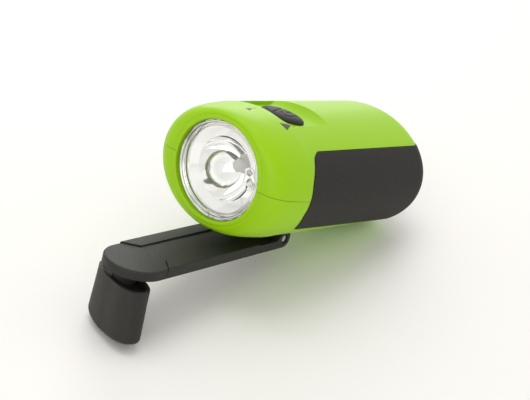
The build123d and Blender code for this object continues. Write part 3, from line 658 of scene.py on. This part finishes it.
@dataclass
class ThumbPiece:
    """The switch's domed oval thumb piece with its carved grooves, and its stem.

    Attributes:
        centre: X and Y of the middle, in mm.
        half: Half its width along the torch and half its length across it.
        base: Height of its underside.
        rise: Height of the dome above that.
        bulge: Power of the reach at which the dome falls; a higher one has a flatter top.
        brink: Power of the fall; a lower one has a steeper edge.
        grooves: Each groove's points, as X and Y.
        groove_depth: Depth of a groove.
        groove_half: Half a groove's width.
        stem: Half width, half length and lower end of the stem.
        around: Points round the dome.
        steps: Rings from the middle to the edge.
    """

    centre: tuple[float, float] = (-33.0, 0.0)
    half: tuple[float, float] = (7.0, 9.6)
    base: float = 21.2
    rise: float = 2.4
    bulge: float = 2.6
    brink: float = 0.42
    grooves: tuple[tuple[tuple[float, float], ...], ...] = (
        ((-29.8, -6.6), (-28.4, -5.2), (-27.6, -3.4)),
        ((-38.2, -3.6), (-34.5, -2.6), (-30.5, -1.3), (-27.4, -0.9)),
        ((-30.6, 0.7), (-29.2, 2.4), (-29.4, 4.2), (-31.4, 5.4), (-34.4, 5.4)),
        ((-37.6, 1.2), (-34.4, 1.5), (-32.2, 2.6)),
    )
    groove_depth: float = 0.38
    groove_half: float = 0.36
    stem: tuple[float, float, float] = (1.4, 2.4, 14.6)
    around: int = 132
    steps: int = 44

    def carve(self, spot: Vector) -> float:
        """Returns how deep the grooves are at a place.

        Args:
            spot: X and Y in mm.

        Returns:
            The depth in mm.
        """
        nearest = math.inf
        for line in self.grooves:
            for start, end in zip(line, line[1:]):
                a, b = Vector(start), Vector(end)
                share = max(0.0, min(1.0, (spot - a).dot(b - a) / (b - a).length_squared))
                nearest = min(nearest, (spot - a.lerp(b, share)).length)
        return self.groove_depth * math.exp(-(nearest / self.groove_half) ** 2)

    def build(self, shop: Workshop, torch: TorchFrame) -> bpy.types.Object:
        """Makes the thumb piece in place of its plain form.

        Args:
            shop: The materials.
            torch: The torch frame.

        Returns:
            The piece.
        """
        work = bmesh.new()
        rings = []
        for step in range(1, self.steps + 1):
            reach = math.sin(math.pi / 2 * step / self.steps)
            dome = self.rise * max(1 - reach ** self.bulge, 0.0) ** self.brink
            ring = []
            for i in range(self.around):
                way = 2 * math.pi * i / self.around
                spot = Vector((self.centre[0] + self.half[0] * reach * math.cos(way),
                               self.centre[1] + self.half[1] * reach * math.sin(way)))
                height = self.base + max(dome - self.carve(spot) * min(1.0, dome), 0.0)
                ring.append(work.verts.new(Vector((spot.x, spot.y, height)) * MM))
            rings.append(ring)
        stitch(work, rings)
        close_ends(work, rings[::-1])
        wide, long, low = self.stem
        box = bmesh.ops.create_cube(work, size=1.0)["verts"]
        bmesh.ops.scale(work, vec=Vector((2 * wide, 2 * long, self.base - low)) * MM, verts=box)
        middle = Vector((self.centre[0], self.centre[1], (self.base + low) / 2))
        bmesh.ops.translate(work, verts=box, vec=middle * MM)
        mesh = to_mesh(work, "thumb_piece", torch.matrix())
        piece = finish_piece(shop, mesh, SPARK_NYLON, "slider")
        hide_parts("switch_slider")
        return piece


@dataclass
class Marks:
    """The small printed marks in front of the thumb recess.

    Attributes:
        proud_mm: How far the ink stands proud.
        above_mm: Height from which the marks are dropped on the housing.
        edge_steps: Pieces that each edge is divided in, to follow the curve below.
        weld_mm: Vertices nearer than this are joined, at the middle of a mark.
        shapes: Each mark's corners, as X and Y.
    """

    proud_mm: float = 0.03
    above_mm: float = 60.0
    edge_steps: int = 6
    weld_mm: float = 0.001
    shapes: tuple[tuple[tuple[float, float], ...], ...] = (
        ((-7.9, -0.9), (-11.5, 0.0), (-7.6, 1.6)),
        ((-12.4, -0.4), (-13.1, -0.4), (-13.1, 0.4), (-12.4, 0.4)),
        ((-14.3, 11.6), (-20.2, 13.0), (-14.6, 15.6)),
        ((-20.9, 12.5), (-21.9, 12.5), (-21.9, 13.7), (-20.9, 13.9)),
    )

    def build(self, shop: Workshop, torch: TorchFrame, skin: bpy.types.Object) -> bpy.types.Object:
        """Lays the marks on the housing.

        Args:
            shop: The materials.
            torch: The torch frame.
            skin: The upper housing.

        Returns:
            One piece that holds all marks.
        """
        surface = BVHTree.FromObject(skin, bpy.context.evaluated_depsgraph_get())
        down = torch.direction(0, 0, -1)
        work = bmesh.new()
        for shape in self.shapes:
            middle = Vector((sum(c) / len(shape) for c in zip(*shape)))
            rings = []
            for share in (0.0, 0.5, 1.0):
                ring = []
                for i, corner in enumerate(shape):
                    following = Vector(shape[(i + 1) % len(shape)])
                    for step in range(self.edge_steps):
                        edge = Vector(corner).lerp(following, step / self.edge_steps)
                        spot = middle.lerp(edge, share)
                        start = torch.point(spot.x, spot.y, self.above_mm)
                        hit, normal, _, _ = surface.ray_cast(start, down)
                        ring.append(work.verts.new(hit + normal * self.proud_mm * MM))
                rings.append(ring)
            stitch(work, rings)
        bmesh.ops.remove_doubles(work, verts=work.verts, dist=self.weld_mm * MM)
        mesh = to_mesh(work, "switch_marks", Matrix())
        if sum(face.normal.dot(down) for face in mesh.polygons) > 0:
            mesh.flip_normals()
        return finish_piece(shop, mesh, MARK_INK, "housing", smooth=False)


@dataclass(frozen=True)
class Lamp:
    """A square lamp.

    Attributes:
        name: Its name.
        place: Its place in the row frame, in metres.
        size: Its side, in metres.
        power: Its power, in watts.
    """

    name: str
    place: tuple[float, float, float]
    size: float
    power: float


@dataclass
class Studio:
    """Floor, lights and camera.

    Attributes:
        floor_colour: sRGB hex of the floor.
        floor_half: Half the floor's width, in metres.
        floor_roughness: Roughness of the floor.
        backdrop_colour: sRGB hex of what lies beyond the floor.
        light_colour: sRGB hex of the soft light from all sides.
        side_light: Level of that light at the horizon.
        top_light: Level of that light from above.
        lamps: The lamps, which all look at the same place.
        aim: That place, in metres.
        sensor_mm: Width of the camera's sensor.
        picture_px: Width of the picture that the focal length is for.
        focal_px: Focal length, in pixels of that picture.
        eye: The camera's place in the torch frame, in mm.
        right: The picture's right in the torch frame.
        down: The picture's down in the torch frame.
    """

    floor_colour: str = "F7F6F4"
    floor_half: float = 6.0
    floor_roughness: float = 0.6
    backdrop_colour: str = "F5F4F1"
    light_colour: str = "FFFCF8"
    side_light: float = 0.8
    top_light: float = 0.72
    lamps: tuple[Lamp, ...] = (
        Lamp("overhead_softbox", (-0.12, -0.2, 1.1), 0.7, 3.4),
        Lamp("front_softbox", (1.3, 0.4, 0.55), 0.9, 3.2),
        Lamp("rear_softbox", (-1.1, -0.95, 0.55), 0.9, 5.0),
    )
    aim: tuple[float, float, float] = (0.0, 0.0, 0.04)
    sensor_mm: float = 36.0
    picture_px: float = 530.0
    focal_px: float = 1337.2
    eye: tuple[float, float, float] = (398.745, 271.774, 130.627)
    right: tuple[float, float, float] = (-0.57185, 0.76842, 0.28724)
    down: tuple[float, float, float] = (0.06265, 0.39003, -0.91867)

    def floor(self) -> bpy.types.Object:
        """Makes the floor."""
        mesh = bpy.data.meshes.new("floor")
        half = self.floor_half
        corners = [(-half, -half, 0), (half, -half, 0), (half, half, 0), (-half, half, 0)]
        mesh.from_pydata(corners, [], [(0, 1, 2, 3)])
        floor = bpy.data.objects.new("floor", mesh)
        bpy.context.scene.collection.objects.link(floor)
        material = bpy.data.materials.new("card_warm_white")
        material.use_nodes = True
        tree = material.node_tree
        shader = tree.nodes["Principled BSDF"]
        shader.inputs["Base Color"].default_value = linear(self.floor_colour)
        shader.inputs["Roughness"].default_value = self.floor_roughness
        mesh.materials.append(material)
        return floor

    def world(self) -> None:
        """Lights everything softly, more from above than from the sides."""
        world = bpy.data.worlds.new("studio")
        world.use_nodes = True
        bpy.context.scene.world = world
        tree = world.node_tree
        tree.nodes.clear()
        way = add_node(tree, "ShaderNodeTexCoord").outputs["Generated"]
        height = add_node(tree, "ShaderNodeSeparateXYZ", {}, {0: way}).outputs["Z"]
        level = add_node(tree, "ShaderNodeMapRange",
                         {"From Min": -0.1, "From Max": 0.9, "To Min": self.side_light,
                          "To Max": self.top_light}, {"Value": height}).outputs["Result"]
        light = add_node(tree, "ShaderNodeBackground", {"Color": linear(self.light_colour)},
                         {"Strength": level})
        paper = add_node(tree, "ShaderNodeBackground",
                         {"Color": linear(self.backdrop_colour), "Strength": 1.0})
        rays = add_node(tree, "ShaderNodeLightPath").outputs
        seen = add_node(tree, "ShaderNodeMath", {"operation": "MAXIMUM"},
                        {0: rays["Is Camera Ray"], 1: rays["Is Transmission Ray"]})
        seen = add_node(tree, "ShaderNodeMath", {"operation": "MAXIMUM"},
                        {0: seen.outputs["Value"], 1: rays["Is Glossy Ray"]})
        both = add_node(tree, "ShaderNodeMixShader", {},
                        {0: seen.outputs["Value"], 1: light.outputs["Background"],
                         2: paper.outputs["Background"]})
        add_node(tree, "ShaderNodeOutputWorld", {}, {"Surface": both.outputs["Shader"]})

    def light(self, lamp: Lamp) -> bpy.types.Object:
        """Adds a lamp that looks at the flashlight.

        Args:
            lamp: The lamp that is wanted.

        Returns:
            The lamp's object.
        """
        data = bpy.data.lights.new(lamp.name, "AREA")
        data.shape, data.size, data.energy = "SQUARE", lamp.size, lamp.power
        holder = bpy.data.objects.new(lamp.name, data)
        holder.location = lamp.place
        sight = Vector(self.aim) - Vector(lamp.place)
        holder.rotation_euler = sight.to_track_quat("-Z", "Y").to_euler()
        bpy.context.scene.collection.objects.link(holder)
        return holder

    def camera(self, torch: TorchFrame) -> bpy.types.Object:
        """Places the camera.

        Args:
            torch: The torch frame.

        Returns:
            The camera.
        """
        data = bpy.data.cameras.new("camera")
        data.sensor_width = self.sensor_mm
        data.lens = self.focal_px / self.picture_px * self.sensor_mm
        data.clip_start, data.clip_end = 0.01, 50.0
        camera = bpy.data.objects.new("camera", data)
        right = torch.direction(*self.right)
        up = -torch.direction(*self.down)
        back = right.cross(up)
        turn = Matrix((right, up, back)).transposed().to_4x4()
        camera.matrix_world = Matrix.Translation(torch.point(*self.eye)) @ turn
        bpy.context.scene.collection.objects.link(camera)
        bpy.context.scene.camera = camera
        return camera

    def build(self, torch: TorchFrame) -> None:
        """Sets up the camera, the floor, the light and the view.

        Args:
            torch: The torch frame.
        """
        self.camera(torch)
        self.floor()
        self.world()
        for lamp in self.lamps:
            self.light(lamp)
        bpy.context.scene.view_settings.view_transform = "Standard"
        LOG.info("studio: %d lamps", len(self.lamps))


def main() -> None:
    """Builds everything in order and reports each piece."""
    logging.basicConfig(level=logging.INFO, format="%(message)s")
    torch = TorchFrame()
    shop = Workshop()
    Studio().build(torch)
    skins = {}
    for node, finish in CAD_FINISHES.items():
        skins[node] = shop.skin(node, finish)
        LOG.info("%s: %s", node, finish.name)
    BoreRings().build(shop, torch)
    LensTabs().build(shop, torch)
    ThumbPiece().build(shop, torch)
    Marks().build(shop, torch, skins["upper_shell"])


if __name__ == "__main__":
    main()
